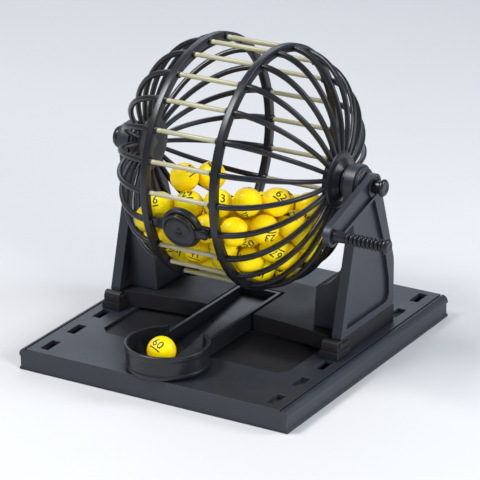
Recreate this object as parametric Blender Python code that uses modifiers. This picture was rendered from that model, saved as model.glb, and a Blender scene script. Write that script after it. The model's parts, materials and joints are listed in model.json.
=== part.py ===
"""Tabletop bingo cage: a crank-turned ball cage on two supports, a base tray and a ball chute.

Units are metres. +X runs along the cage axis towards the crank, +Y to the back, +Z up.
The origin is at the middle of the base tray's underside.
"""
import math

import bmesh
import bpy
from mathutils import Matrix, Vector

GAP = 0.0003
OVERLAP = 0.001
REACH = 0.01

# Balls
BALL_R = 0.0075

# Base tray
BASE_W = 0.160
BASE_D = 0.173
BASE_H = 0.012
WALL = 0.002
PLATE_T = 0.002
RAIL_X = 0.0765
RAIL_R = 0.0035
RAIL_STEP = 0.0008
LIP_H = 0.0012
LIP_TOP = 0.0016
WALL_TOP = 0.0076
GROOVE_W = 0.001
RIB_T = 0.0016
RIB_LIFT = 0.002
SLOT_X = 0.0675
SLOT_INSET = 0.0105
SLOT_PITCH = 0.0244
SLOT_SIZE = (0.005, 0.012)
FRONT_SLOTS = 3
BACK_SLOTS = 2
RECESS_X = 0.056
RECESS_FRONT = -0.048
RECESS_BACK = 0.060
RECESS_CHAMFER = 0.005
RECESS_DEPTH = 0.004
FOOT = 0.014
FOOT_INSET = (0.0015, 0.001)
SLOT_SPACE = (0.003, 0.0065, 0.004)
CENTRE_FOOT_R = 0.006

# Stand deck between the supports
DECK_X = 0.070
DECK_FRONT = -0.014
DECK_BACK = 0.0430
DECK_TOP = 0.0208
DECK_BOW = 0.0085
FLANGE_T = 0.002
CHUTE_CLEARANCE = 0.0015
LUG_X = (0.0610, 0.0715)
LUG_REACH = 0.0068
LUG_H = 0.0070
LUG_ROLL = 0.0025
LUG_STEP = 0.0006

# Chute and cup
CHUTE_X = -0.001
CHUTE_W = 0.025
CHUTE_WALL = 0.0018
CHUTE_END = 0.026
CHUTE_TOP = 0.0212
CHUTE_RISE = 0.0035
CUP_Y = -0.068
CUP_R = 0.022
CUP_RIM = 0.0255
CUP_FLOOR = 0.0138

# Cage
AXIS_Y = 0.006
AXIS_Z = 0.100
PLACES = 24
FIRST_ANGLE = math.radians(-14.0)
EXIT_PLACE = 8
ROD_CIRCLE = 0.062
ROD_R = 0.00125
ROD_HALF = 0.0204
RING_IN = 0.0600
RING_OUT = 0.0645
RING_X0 = 0.0182
RING_X1 = 0.0221
RING_EDGE = 0.0006
SOCKET_X = 0.0207
RIB_R = 0.0015
STUB_R = 0.0021
STUB_X = 0.0172
HUB_X0 = 0.0545
HUB_X1 = 0.0615
HUB_R = 0.0152
DOME_POWER = 1.05

# Exit port and its shutter, in a frame whose +Z is the outward radius
PORT_R = 0.0112
PORT_HOLE = 0.0085
PORT_Z0 = 0.0602
PORT_Z1 = 0.0640
PORT_BAR = 0.003
PORT_STEP = 0.0006
RIVET_HOLE_R = 0.0015
RIVET_R = 0.0012
RIVET_HEAD_R = 0.0022
RIVET_HEAD_T = 0.0009
SHUTTER_PIVOT_X = 0.0142
SHUTTER_T = 0.0012
SHUTTER_R = 0.0094
SHUTTER_EDGE = 0.0014
SHUTTER_DISH = 0.001
SHUTTER_ARM = 0.002
SHUTTER_EYE_R = 0.0028

# Supports
SUPPORT_X0 = 0.0645
SUPPORT_X1 = 0.0700
BEARING_R = 0.0049
BEARING_BOSS = 0.0100
INNER_BOSS_R = 0.0090
INNER_BOSS_X = 0.0620
SLEEVE_R = 0.0084
SLEEVE_X = 0.0730
PANEL_FRONT = -0.0145
PANEL_BACK = 0.0425
PANEL_BEND_Z = 0.0470
PANEL_SHOULDER = (0.0292, 0.0860)
PANEL_WAIST = (-0.0010, 0.0700)
PANEL_CORNER = 0.003
FIELD = ((-0.0085, 0.0250), (0.0335, 0.0250), (0.0375, 0.0290), (0.0370, 0.0380), (0.0310, 0.0610),
         (0.0205, 0.0870), (0.0165, 0.0860), (0.0025, 0.0780), (0.0025, 0.0630))
FIELD_DEPTH = 0.0018
INNER_FIELD_DEPTH = 0.0008
GUSSET_X = 0.0478
GUSSET_Y = 0.0145
GUSSET_D = 0.036
GUSSET_CENTRE = (0.0452, 0.0620)
GUSSET_CURVE_R = 0.0195

# Shaft and crank
SHAFT_R = 0.0046
SPIGOT_R = 0.0030
COLLAR_R = 0.0064
KNOB = ((0.0, 0.0060), (0.0022, 0.0060), (0.0039, 0.0048), (0.0049, 0.0025), (0.0052, 0.0))
CAP = ((0.0, 0.0), (0.0, 0.0036), (0.0036, 0.0036), (0.0040, 0.0045), (0.0052, 0.0045), (0.0058, 0.0038),
       (0.0058, 0.0))
ARM_X0 = 0.0742
ARM_T = 0.0036
ARM_EYES = (0.0066, 0.0058)
ARM_FIELD = (0.0048, 0.0042)
ARM_DISH = 0.0014
ARM_REACH_Y = -0.0425
ARM_REACH_Z = -0.0125
GRIP_X0 = 0.0782
GRIP_RIBBED = 0.0850
GRIP_X1 = 0.1090
GRIP_R = 0.0033
GRIP_RIBS = 8
GRIP_GROOVE = 0.0006
GRIP_FLANGE = 0.0008
GRIP_CLOSED = 0.003
PIN_R = 0.0016
PIN_HEAD = ((-0.0016, 0.0), (-0.0016, 0.0024), (-GAP, 0.0030), (-GAP, PIN_R))

# Ball heap
HEAP_GAP = 0.0008
HEAP_DEPTH = 0.0250
HEAP_TILT = math.radians(-20)
HEAP_LEAN = math.radians(12.5)
TOP_PITCH = 0.0164
TOP_ROWS = ((-0.0200, -0.0410, 4), (-0.0118, -0.0262, 4), (-0.0036, -0.0114, 2))
TOP_LIFT = 0.0005
STACKED = ((-0.0118, -0.0361, 0.0152), (-0.0036, -0.0232, 0.0162))

CAGE_CENTRE = Vector((0.0, AXIS_Y, AXIS_Z))


def collection(name):
    made = bpy.data.collections.new(name)
    bpy.context.scene.collection.children.link(made)
    return made


def material(name, colour, roughness):
    made = bpy.data.materials.new(name)
    made.use_nodes = True
    shader = made.node_tree.nodes["Principled BSDF"]
    shader.inputs["Base Color"].default_value = (*colour, 1.0)
    shader.inputs["Roughness"].default_value = roughness
    made.diffuse_color = (*colour, 1.0)
    return made


def add(name, mesh, where=None, parent=None):
    """Make an object from a mesh, in the cutter collection unless another is named."""
    made = bpy.data.objects.new(name, mesh)
    home = where or CUTTERS
    home.objects.link(made)
    made.parent = parent
    if home is CUTTERS:
        made.hide_render = True
        made.display_type = "WIRE"
    return made


def piece(name, mesh, look, parent=None, angle=35):
    """Finish one named sub-part: its own material, and smooth shading up to the given edge angle."""
    mesh.materials.clear()
    mesh.materials.append(look)
    mesh.shade_smooth()
    mesh.set_sharp_from_angle(angle=math.radians(angle))
    return add(name, mesh, PARTS, parent)


def mesh_from(name, bm):
    bmesh.ops.recalc_face_normals(bm, faces=bm.faces)
    made = bpy.data.meshes.new(name)
    bm.to_mesh(made)
    bm.free()
    return made


def box(name, low, high):
    low, high = Vector(low), Vector(high)
    bm = bmesh.new()
    size = Matrix.Diagonal((*(high - low), 1.0))
    bmesh.ops.create_cube(bm, size=1.0, matrix=Matrix.Translation((low + high) / 2) @ size)
    return mesh_from(name, bm)


def rod(name, radius, start, end, sides=16):
    start, end = Vector(start), Vector(end)
    along = end - start
    turn = along.to_track_quat("Z", "Y").to_matrix().to_4x4()
    bm = bmesh.new()
    bmesh.ops.create_cone(bm, cap_ends=True, segments=sides, radius1=radius, radius2=radius,
                          depth=along.length, matrix=Matrix.Translation((start + end) / 2) @ turn)
    return mesh_from(name, bm)


def baked(source, move=Matrix.Identity(4)):
    """The evaluated mesh of an object, welded, with its faces out; the object is removed."""
    graph = bpy.context.evaluated_depsgraph_get()
    made = bpy.data.meshes.new_from_object(source.evaluated_get(graph))
    bm = bmesh.new()
    bm.from_mesh(made)
    bmesh.ops.remove_doubles(bm, verts=bm.verts, dist=0.00001)
    bmesh.ops.transform(bm, matrix=move @ source.matrix_world, verts=bm.verts)
    bmesh.ops.recalc_face_normals(bm, faces=bm.faces)
    bm.to_mesh(made)
    bm.free()
    bpy.data.objects.remove(source)
    return made


def turned(name, profile, sides):
    """A solid of revolution about X from (x, radius) points; a closed profile makes a ring."""
    mesh = bpy.data.meshes.new(name)
    points = [(radius, 0.0, x) for x, radius in profile]
    mesh.from_pydata(points, [(i, i + 1) for i in range(len(points) - 1)], [])
    spun = add(name, mesh)
    screw = spun.modifiers.new("turn", "SCREW")
    screw.steps = screw.render_steps = sides
    screw.use_merge_vertices = True
    screw.merge_threshold = 0.00001
    onto_x = Matrix(((0, 0, 1, 0), (1, 0, 0, 0), (0, 1, 0, 0), (0, 0, 0, 1)))
    return baked(spun, onto_x)


def closed_ring(profile):
    return profile + profile[:1]


def plate(name, outline, thickness, frame):
    """A flat plate from a 2D outline, centred on the frame's XY plane."""
    curve = bpy.data.curves.new(name, "CURVE")
    curve.dimensions = "2D"
    curve.fill_mode = "BOTH"
    curve.extrude = thickness / 2
    spline = curve.splines.new("POLY")
    spline.points.add(len(outline) - 1)
    for point, (x, y) in zip(spline.points, outline):
        point.co = (x, y, 0.0, 1.0)
    spline.use_cyclic_u = True
    return baked(add(name, curve), frame)


def arc(centre, radius, start, end, steps):
    """Points on an arc, with angles in degrees."""
    turns = [math.radians(start + (end - start) * i / steps) for i in range(steps + 1)]
    return [(centre[0] + radius * math.cos(t), centre[1] + radius * math.sin(t)) for t in turns]


def combined(name, first, steps):
    """Run Boolean steps on a mesh; each step is an operation and the mesh it works with."""
    target = add(name, first)
    tools = []
    for count, (operation, mesh) in enumerate(steps):
        tools.append(add(f"{name}_tool_{count}", mesh))
        modifier = target.modifiers.new(operation.lower(), "BOOLEAN")
        modifier.operation = operation
        modifier.solver = "EXACT"
        modifier.object = tools[-1]
    return baked(target)


def side_frame(x):
    """A frame whose X and Y are world Y and Z, at a given world X."""
    return Matrix(((0, 0, 1, x), (1, 0, 0, 0), (0, 1, 0, 0), (0, 0, 0, 1)))


def mirrored(name, mesh):
    """The same shape on the other side of the YZ plane."""
    bm = bmesh.new()
    bm.from_mesh(mesh)
    bmesh.ops.transform(bm, matrix=Matrix.Diagonal((-1.0, 1.0, 1.0, 1.0)), verts=bm.verts)
    return mesh_from(name, bm)


def rectangle(half_x, half_y):
    return [(half_x, half_y), (-half_x, half_y), (-half_x, -half_y), (half_x, -half_y)]


def tray_section():
    """The tray's outline across its width: flat plate, groove, and a rounded rail over a set-back wall."""
    edge = BASE_W / 2
    wall = edge - RAIL_STEP
    groove = RAIL_X - GROOVE_W
    right = [(edge, 0.0), (edge, LIP_H), (wall, LIP_TOP), (wall, WALL_TOP)]
    right += arc((edge - RAIL_R, BASE_H - RAIL_R), RAIL_R, 0, 90, 5)
    right += [(RAIL_X, BASE_H), (RAIL_X, BASE_H - GROOVE_W), (groove, BASE_H - GROOVE_W), (groove, BASE_H)]
    return right + [(-x, z) for x, z in reversed(right)]


def slot_places():
    """Centres of the plate's slots, counted in from the front and from the back corners."""
    end = BASE_D / 2 - SLOT_INSET
    places = []
    for side in (-1, 1):
        places += [(side * SLOT_X, -end + i * SLOT_PITCH) for i in range(FRONT_SLOTS)]
        places += [(side * SLOT_X, end - i * SLOT_PITCH) for i in range(BACK_SLOTS)]
    return places


def recess_outline(grow=0.0):
    x = RECESS_X + grow
    front = RECESS_FRONT - grow
    back = RECESS_BACK + grow
    cut = RECESS_CHAMFER
    return [(-x, back), (-x, front + cut), (-x + cut, front), (x - cut, front), (x, front + cut), (x, back)]


def tray_hollows(low, high):
    """The space under the plate: shallow under the recess and full height round it."""
    inner = rectangle(BASE_W / 2 - WALL - RAIL_STEP, BASE_D / 2 - WALL)
    shallow = plate("tray_hollow_low", inner, low + OVERLAP * 2,
                    Matrix.Translation((0, 0, low / 2 - OVERLAP)))
    full = plate("tray_hollow_high", inner, high, Matrix.Translation((0, 0, high / 2)))
    kept = plate("tray_recess_block", recess_outline(WALL), BASE_H * 2, Matrix.Translation((0, 0, BASE_H)))
    full = combined("tray_hollow_ring", full, [("DIFFERENCE", kept)])
    return [("DIFFERENCE", shallow), ("DIFFERENCE", full)]


def corner_foot(side, end, top):
    """A block in one corner of the tray's underside, cut away under the corner slot."""
    corner = Vector((side * (BASE_W / 2 - FOOT_INSET[0]), end * (BASE_D / 2 - FOOT_INSET[1]), 0.0))
    inside = Vector((side * (BASE_W / 2 - FOOT), end * (BASE_D / 2 - FOOT), top))
    low = [min(a, b) for a, b in zip(corner, inside)]
    high = [max(a, b) for a, b in zip(corner, inside)]
    x, y = side * SLOT_X, end * (BASE_D / 2 - SLOT_INSET)
    half_x, half_y, bottom = SLOT_SPACE
    space = box("tray_slot_space", (x - half_x, y - half_y, bottom), (x + half_x, y + half_y, BASE_H * 2))
    return combined("tray_foot", box("tray_foot_block", low, high), [("DIFFERENCE", space)])


def base_tray():
    """An upside-down moulded tray with side rails, slots, a recess, stiffening ribs and feet."""
    floor = BASE_H - RECESS_DEPTH
    low = floor - PLATE_T
    high = BASE_H - PLATE_T
    body = plate("tray_body", tray_section(), BASE_D, front_frame(0.0))
    recess = plate("tray_recess", recess_outline(), BASE_H, Matrix.Translation((0, 0, floor + BASE_H / 2)))
    steps = tray_hollows(low, high) + [("DIFFERENCE", recess)]
    sx, sy = SLOT_SIZE[0] / 2, SLOT_SIZE[1] / 2
    for x, y in slot_places():
        slot = box("tray_slot", (x - sx, y - sy, OVERLAP), (x + sx, y + sy, BASE_H * 2))
        steps.append(("DIFFERENCE", slot))
    steps += [("UNION", corner_foot(side, end, high + OVERLAP)) for side in (-1, 1) for end in (-1, 1)]
    reach = BASE_W / 2 - WALL
    for turn in (0, math.pi / 2):
        rib = box("tray_rib", (-reach, -RIB_T / 2, RIB_LIFT), (reach, RIB_T / 2, low + OVERLAP))
        rib.transform(Matrix.Rotation(turn, 4, "Z"))
        steps.append(("UNION", rib))
    middle = rod("tray_centre_foot", CENTRE_FOOT_R, (0, 0, 0), (0, 0, low + OVERLAP), 24)
    return piece("base_tray", combined("tray", body, steps + [("UNION", middle)]), CHARCOAL)


def deck_lug(side):
    """A stepped lug at a front corner of the deck, with a rolled top edge."""
    inner, outer = sorted((side * LUG_X[0], side * LUG_X[1]))
    front = DECK_FRONT - LUG_REACH
    bottom = BASE_H + GAP
    top = bottom + LUG_H
    block = box("deck_lug", (inner, front, bottom), (outer, DECK_FRONT + LUG_REACH, top))
    y = front + LUG_ROLL * 1.5
    roll = rod("deck_lug_roll", LUG_ROLL, (inner + LUG_STEP, y, top), (outer - LUG_STEP, y, top), 12)
    return [("UNION", block), ("UNION", roll)]


def stand_deck():
    """The raised deck that carries both supports, its flange in the tray's recess, and two front lugs."""
    bottom = BASE_H + GAP
    middle = DECK_FRONT + DECK_BOW
    bow = [(DECK_X * (i / 4 - 1), middle - DECK_BOW * (i / 4 - 1) ** 2) for i in range(9)]
    outline = bow + [(DECK_X, DECK_BACK), (-DECK_X, DECK_BACK)]
    floor = BASE_H - RECESS_DEPTH + GAP
    flange_top = floor + FLANGE_T
    body = plate("deck_body", outline, DECK_TOP - bottom, Matrix.Translation((0, 0, (DECK_TOP + bottom) / 2)))
    skirt = box("deck_skirt", (-RECESS_X + GAP, middle, floor), (RECESS_X - GAP, DECK_BACK, bottom + OVERLAP))
    flange = plate("deck_flange", recess_outline(-GAP), FLANGE_T,
                   Matrix.Translation((0, 0, (floor + flange_top) / 2)))
    hollow = box("deck_hollow", (-RECESS_X + WALL, middle + WALL, -REACH),
                 (RECESS_X - WALL, DECK_BACK - WALL, DECK_TOP - WALL))
    half = CHUTE_W / 2 + CHUTE_CLEARANCE
    slot = box("deck_slot", (CHUTE_X - half, DECK_FRONT - REACH, flange_top + GAP),
               (CHUTE_X + half, CHUTE_END + CHUTE_CLEARANCE, DECK_TOP + REACH))
    steps = [("UNION", skirt), ("DIFFERENCE", hollow), ("UNION", flange), ("DIFFERENCE", slot)]
    return piece("stand_deck", combined("deck", body, steps + deck_lug(-1) + deck_lug(1)), BLACK)


def ball_chute():
    """A trough that slopes from under the cage down to an open round cup at the front."""
    bottom = BASE_H + GAP
    half = CHUTE_W / 2
    start = CUP_Y + 0.010
    trough = box("chute_trough", (CHUTE_X - half, start, bottom), (CHUTE_X + half, CHUTE_END, CHUTE_TOP))
    cup = rod("chute_cup", CUP_R, (CHUTE_X, CUP_Y, bottom), (CHUTE_X, CUP_Y, CUP_RIM), 40)
    bowl = rod("chute_bowl", CUP_R - CHUTE_WALL, (CHUTE_X, CUP_Y, CUP_FLOOR), (CHUTE_X, CUP_Y, 0.05), 40)
    inside = half - CHUTE_WALL
    ramp_start = CUP_Y + CUP_R - 0.002
    ramp_top = CUP_FLOOR + CHUTE_RISE
    profile = [(CUP_Y, CUP_FLOOR), (ramp_start, CUP_FLOOR), (CHUTE_END - CHUTE_WALL, ramp_top),
               (CHUTE_END - CHUTE_WALL, 0.05), (CUP_Y, 0.05)]
    channel = plate("chute_channel", profile, inside * 2, side_frame(CHUTE_X))
    steps = [("UNION", cup), ("DIFFERENCE", bowl), ("DIFFERENCE", channel)]
    return piece("ball_chute", combined("chute", trough, steps), BLACK)


def panel_outline():
    """Side outline of a support in world Y and Z, from the front foot round over the bearing."""
    foot = DECK_TOP + GAP
    points = [(PANEL_FRONT, foot), (PANEL_BACK - PANEL_CORNER, foot), (PANEL_BACK, foot + PANEL_CORNER),
              (PANEL_BACK, PANEL_BEND_Z), PANEL_SHOULDER]
    return points + arc((AXIS_Y, AXIS_Z), BEARING_BOSS, 40, 185, 7) + [PANEL_WAIST]


def gusset_outline():
    """Front outline of the foot that widens inward below the dome, in world X and Z."""
    foot = DECK_TOP + GAP
    curve = arc(GUSSET_CENTRE, GUSSET_CURVE_R, 350, 282, 6)
    inside = SUPPORT_X0 + OVERLAP * 2
    return [(inside, foot), (inside, curve[0][1])] + curve + [(GUSSET_X, foot)]


def front_frame(y):
    """A frame whose X and Y are world X and Z, at a given world Y."""
    return Matrix(((1, 0, 0, 0), (0, 0, 1, y), (0, 1, 0, 0), (0, 0, 0, 1)))


def support_mesh():
    """A panel recessed inside its rim on both faces, a gusset on its inner face and a bearing through it."""
    thick = SUPPORT_X1 - SUPPORT_X0
    middle = (SUPPORT_X0 + SUPPORT_X1) / 2
    panel = plate("support_panel", panel_outline(), thick, side_frame(middle))
    outer_field = plate("support_field", FIELD, FIELD_DEPTH * 2, side_frame(SUPPORT_X1))
    inner_field = plate("support_inner_field", FIELD, INNER_FIELD_DEPTH * 2, side_frame(SUPPORT_X0))
    gusset = plate("support_gusset", gusset_outline(), GUSSET_D, front_frame(GUSSET_Y))
    boss = rod("support_boss", INNER_BOSS_R, (INNER_BOSS_X, AXIS_Y, AXIS_Z), (middle, AXIS_Y, AXIS_Z), 24)
    sleeve = rod("support_sleeve", SLEEVE_R, (middle, AXIS_Y, AXIS_Z), (SLEEVE_X, AXIS_Y, AXIS_Z), 24)
    bore = rod("support_bore", BEARING_R, (INNER_BOSS_X - REACH, AXIS_Y, AXIS_Z),
               (SLEEVE_X + REACH, AXIS_Y, AXIS_Z), 24)
    steps = [("DIFFERENCE", outer_field), ("DIFFERENCE", inner_field), ("UNION", gusset), ("UNION", boss),
             ("UNION", sleeve), ("DIFFERENCE", bore)]
    return combined("support", panel, steps)


def supports():
    right = support_mesh()
    piece("right_support", right.copy(), CHARCOAL)
    piece("left_support", mirrored("left_support", right), CHARCOAL)


def place_angle(index):
    return FIRST_ANGLE + 2 * math.pi * index / PLACES


def dome_point(share):
    """Centre line of a rib, from the ring (0) to the hub (1), as distance along and from the axis."""
    turn = share * math.pi / 2
    along = SOCKET_X + (HUB_X0 + 0.002 - SOCKET_X) * math.sin(turn) ** DOME_POWER
    hub_join = HUB_R - 0.003
    out = hub_join + (ROD_CIRCLE - hub_join) * math.cos(turn) ** DOME_POWER
    return along, out


def ribs(steps=7):
    """All ribs of one dome as one curve: each is a spline in its own plane through the axis."""
    curve = bpy.data.curves.new("dome_ribs", "CURVE")
    curve.dimensions = "3D"
    curve.bevel_depth = RIB_R
    curve.bevel_resolution = 1
    curve.use_fill_caps = True
    for index in range(PLACES):
        turn = Matrix.Rotation(place_angle(index), 3, "X")
        spline = curve.splines.new("POLY")
        spline.points.add(steps)
        for number, point in enumerate(spline.points):
            along, out = dome_point(number / steps)
            point.co = (*(turn @ Vector((along, 0.0, out))), 1.0)
    return baked(add("dome_ribs", curve))


def dome_mesh():
    """One half cage: an end ring with rod sockets, the ribs, and a hub with a keyed bore."""
    ring = turned("dome_ring", closed_ring([
        (RING_X0, RING_IN), (RING_X0, RING_OUT - RING_EDGE), (RING_X0 + RING_EDGE, RING_OUT),
        (RING_X1 - RING_EDGE, RING_OUT), (RING_X1, RING_OUT - RING_EDGE), (RING_X1, RING_IN)]), 48)
    hub = turned("dome_hub", closed_ring([
        (HUB_X0, SPIGOT_R + GAP), (HUB_X0, HUB_R - 0.001), (HUB_X0 + 0.0035, HUB_R),
        (HUB_X1 - 0.0010, 0.0085), (HUB_X1, 0.0075), (HUB_X1, SPIGOT_R + GAP)]), 24)
    stubs = round_row("stubs", STUB_R, STUB_X, RING_X0 + OVERLAP)
    sockets = round_row("sockets", ROD_R + GAP * 1.2, STUB_X - 0.002, SOCKET_X)
    steps = [("UNION", hub), ("UNION", ribs()), ("UNION", stubs), ("DIFFERENCE", sockets)]
    return combined("dome", ring, steps)


def round_row(name, radius, start, end):
    """A short cylinder along X at every rod place, as one mesh."""
    bm = bmesh.new()
    lie = Matrix.Rotation(math.pi / 2, 4, "Y")
    at = Matrix.Translation(((start + end) / 2, 0.0, ROD_CIRCLE))
    for index in range(PLACES):
        turn = Matrix.Rotation(place_angle(index), 4, "X")
        bmesh.ops.create_cone(bm, cap_ends=True, segments=8, radius1=radius, radius2=radius,
                              depth=end - start, matrix=turn @ at @ lie)
    return mesh_from(name, bm)


def domes(cage):
    right = dome_mesh()
    piece("right_dome", right.copy(), BLACK, cage)
    piece("left_dome", mirrored("left_dome", right), BLACK, cage)


def rods(cage):
    """Every rod between the rings, except at the exit place."""
    shared = rod("rod", ROD_R, (-ROD_HALF, 0, 0), (ROD_HALF, 0, 0), 8)
    number = 0
    for index in range(PLACES):
        if index == EXIT_PLACE:
            continue
        number += 1
        made = piece(f"cage_rod_{number:02d}", shared, CREAM, cage, 60)
        angle = place_angle(index)
        made.location = Matrix.Rotation(angle, 3, "X") @ Vector((0.0, 0.0, ROD_CIRCLE))
        made.rotation_euler.x = angle


def exit_port(cage):
    """The wide bar between the rings, with the round port that lets one ball out."""
    reach = STUB_X - GAP
    bar = box("port_bar", (-reach, -PORT_BAR, PORT_Z0 + PORT_STEP), (reach, PORT_BAR, PORT_Z1 - PORT_STEP))
    pins = rod("port_pins", ROD_R, (-ROD_HALF, 0, ROD_CIRCLE), (ROD_HALF, 0, ROD_CIRCLE), 8)
    ring = rod("port_ring", PORT_R, (0, 0, PORT_Z0), (0, 0, PORT_Z1), 32)
    low, high = PORT_Z0 - REACH, PORT_Z1 + REACH
    hole = rod("port_hole", PORT_HOLE, (0, 0, low), (0, 0, high), 32)
    x = SHUTTER_PIVOT_X
    rivet_hole = rod("port_rivet_hole", RIVET_HOLE_R, (x, 0, low), (x, 0, high), 12)
    steps = [("UNION", pins), ("UNION", ring), ("DIFFERENCE", hole), ("DIFFERENCE", rivet_hole)]
    made = piece("exit_port", combined("port", bar, steps), BLACK, cage)
    made.rotation_euler.x = place_angle(EXIT_PLACE)
    return made


def port_shutter(pivot):
    """The dished round shutter over the port, drawn with its rivet at the origin."""
    z0 = PORT_Z1 + GAP
    x = -SHUTTER_PIVOT_X
    disc = rod("shutter_disc", SHUTTER_R, (x, 0, z0), (x, 0, z0 + SHUTTER_T + SHUTTER_DISH), 28)
    dish = rod("shutter_dish", SHUTTER_R - SHUTTER_EDGE, (x, 0, z0 + SHUTTER_T), (x, 0, z0 + REACH), 28)
    arm = box("shutter_arm", (x + SHUTTER_R - SHUTTER_EDGE * 2, -SHUTTER_ARM, z0),
              (0.0, SHUTTER_ARM, z0 + SHUTTER_T))
    eye = rod("shutter_eye", SHUTTER_EYE_R, (0, 0, z0), (0, 0, z0 + SHUTTER_T), 16)
    hole = rod("shutter_hole", RIVET_HOLE_R, (0, 0, z0 - REACH), (0, 0, z0 + REACH), 12)
    steps = [("DIFFERENCE", dish), ("UNION", arm), ("UNION", eye), ("DIFFERENCE", hole)]
    return piece("port_shutter", combined("shutter", disc, steps), BLACK, pivot)


def shutter_rivet(pivot):
    """The headed rivet that holds the shutter to the port's bar."""
    top = PORT_Z1 + GAP * 2 + SHUTTER_T
    stem = rod("rivet_stem", RIVET_R, (0, 0, PORT_Z0 + PORT_STEP), (0, 0, top + RIVET_HEAD_T / 3), 12)
    head = rod("rivet_head", RIVET_HEAD_R, (0, 0, top), (0, 0, top + RIVET_HEAD_T), 12)
    return piece("shutter_rivet", combined("rivet", stem, [("UNION", head)]), BLACK, pivot)


def axles(cage):
    start = HUB_X0 - GAP * 2
    shoulder = HUB_X1 + GAP
    end = SLEEVE_X + GAP
    shaft = [(start, 0.0), (start, SPIGOT_R), (shoulder, SPIGOT_R), (shoulder, SHAFT_R), (end, SHAFT_R)]
    crank_end = [(end, COLLAR_R), (ARM_X0 - GAP, COLLAR_R), (ARM_X0 - GAP, SPIGOT_R),
                 (ARM_X0 + ARM_T, SPIGOT_R), (ARM_X0 + ARM_T, 0.0)]
    knob = [(end + x, radius) for x, radius in KNOB]
    piece("crank_shaft", turned("crank_shaft", shaft + crank_end, 24), BLACK, cage)
    left = turned("left_axle", shaft + knob, 24)
    piece("left_axle", mirrored("left_axle", left), BLACK, cage)


def crank_cap(cage):
    """The flanged cap that holds the arm on the shaft."""
    face = ARM_X0 + ARM_T + GAP
    profile = [(face + x, radius) for x, radius in CAP]
    piece("crank_cap", turned("crank_cap", profile, 24), BLACK, cage)


def link_outline(big, small, reach, steps=8):
    """Outline round two circles, the larger at the origin and the smaller at the reach point."""
    heading = math.degrees(math.atan2(reach[1], reach[0]))
    lean = math.degrees(math.acos((big - small) / math.hypot(*reach)))
    far = arc(reach, small, heading - lean, heading + lean, steps)
    near = arc((0.0, 0.0), big, heading + lean, heading + 360 - lean, steps)
    return far + near


def crank_arm(cage):
    """A flat link with a raised rim; the shaft's eye at its origin and the grip's eye at its far end."""
    reach = (ARM_REACH_Y, ARM_REACH_Z)
    body = plate("arm_body", link_outline(*ARM_EYES, reach), ARM_T, side_frame(ARM_X0 + ARM_T / 2))
    start = Vector(reach) * 0.17
    field = link_outline(*ARM_FIELD, Vector(reach) * 0.68, 5)
    moved = [(y + start.x, z + start.y) for y, z in field]
    dish = plate("arm_dish", moved, ARM_DISH * 2, side_frame(ARM_X0 + ARM_T))
    low, high = ARM_X0 - REACH, ARM_X0 + REACH
    bore = rod("arm_bore", SPIGOT_R + GAP, (low, 0, 0), (high, 0, 0), 24)
    pin_bore = rod("arm_pin_bore", PIN_R + GAP, (low, *reach), (high, *reach), 16)
    steps = [("DIFFERENCE", dish), ("DIFFERENCE", bore), ("DIFFERENCE", pin_bore)]
    return piece("crank_arm", combined("arm", body, steps), CHARCOAL, cage)


def grip_pin(cage):
    """The headed pin through the arm that the grip turns on; it stays fixed in the arm."""
    end = GRIP_X1 - GRIP_CLOSED
    profile = [(ARM_X0 + x, radius) for x, radius in PIN_HEAD] + [(end, PIN_R), (end, 0.0)]
    made = piece("grip_pin", turned("grip_pin", profile, 16), BLACK, cage)
    made.location = (0.0, ARM_REACH_Y, ARM_REACH_Z)


def crank_grip(grip):
    """The ribbed handle, closed at its outer end by a flange."""
    bore = PIN_R + GAP
    start = GRIP_X0
    end = GRIP_X1 - GRIP_CLOSED
    groove = GRIP_R - GRIP_GROOVE
    flange = GRIP_R + GRIP_FLANGE
    pitch = (end - GRIP_RIBBED) / GRIP_RIBS
    profile = [(end + GAP, 0.0), (end + GAP, bore), (start, bore), (start, GRIP_R),
               (start + 0.002, GRIP_R), (start + 0.003, groove)]
    for number in range(GRIP_RIBS):
        x = GRIP_RIBBED + number * pitch
        profile += [(x, groove), (x + pitch * 0.3, GRIP_R), (x + pitch * 0.7, GRIP_R)]
    profile += [(end, groove), (end + GRIP_FLANGE / 2, flange), (GRIP_X1 - GRIP_FLANGE, flange),
                (GRIP_X1, GRIP_R), (GRIP_X1, 0.0)]
    return piece("crank_grip", turned("crank_grip", profile, 14), BLACK, grip)


def inside_point(share):
    """A point just inside a rib's inner edge, square to its centre line."""
    step = 0.01
    before = Vector(dome_point(max(share - step, 0.0)))
    after = Vector(dome_point(min(share + step, 1.0)))
    along = (after - before).normalized()
    inward = Vector((along.y, -along.x))
    return Vector(dome_point(share)) + inward * (RIB_R + HEAP_GAP)


def heap_profile(steps=7):
    """Inside of the cage as (x, radius) points, from the left hub to the right hub."""
    edge = [inside_point(number / steps) for number in range(steps, -1, -1)]
    right = [(min(point.x, HUB_X0 - 0.0012), min(point.y, RING_IN - HEAP_GAP)) for point in edge]
    right = [(x, out) for x, out in right if x > RING_X1 * 0.5]
    left = [(-x, out) for x, out in right]
    right.reverse()
    return [(left[0][0], 0.0)] + left + right + [(right[-1][0], 0.0)]


def ball_mesh(name, radius):
    bm = bmesh.new()
    bmesh.ops.create_icosphere(bm, subdivisions=2, radius=radius)
    return mesh_from(name, bm)


def heap_level(x):
    """Height of the heap's leaning top at a given X, from the cage centre."""
    return math.tan(HEAP_LEAN) * x - HEAP_DEPTH


def top_ball_places():
    """Centres of the loose balls, from the cage centre: staggered rows and two balls stacked on them."""
    places = []
    for first_x, y, count in TOP_ROWS:
        for x in [first_x + TOP_PITCH * column for column in range(count)]:
            places.append(Vector((x, y, heap_level(x) + TOP_LIFT)))
    return places + [Vector((x, y, heap_level(x) + lift)) for x, y, lift in STACKED]


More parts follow.
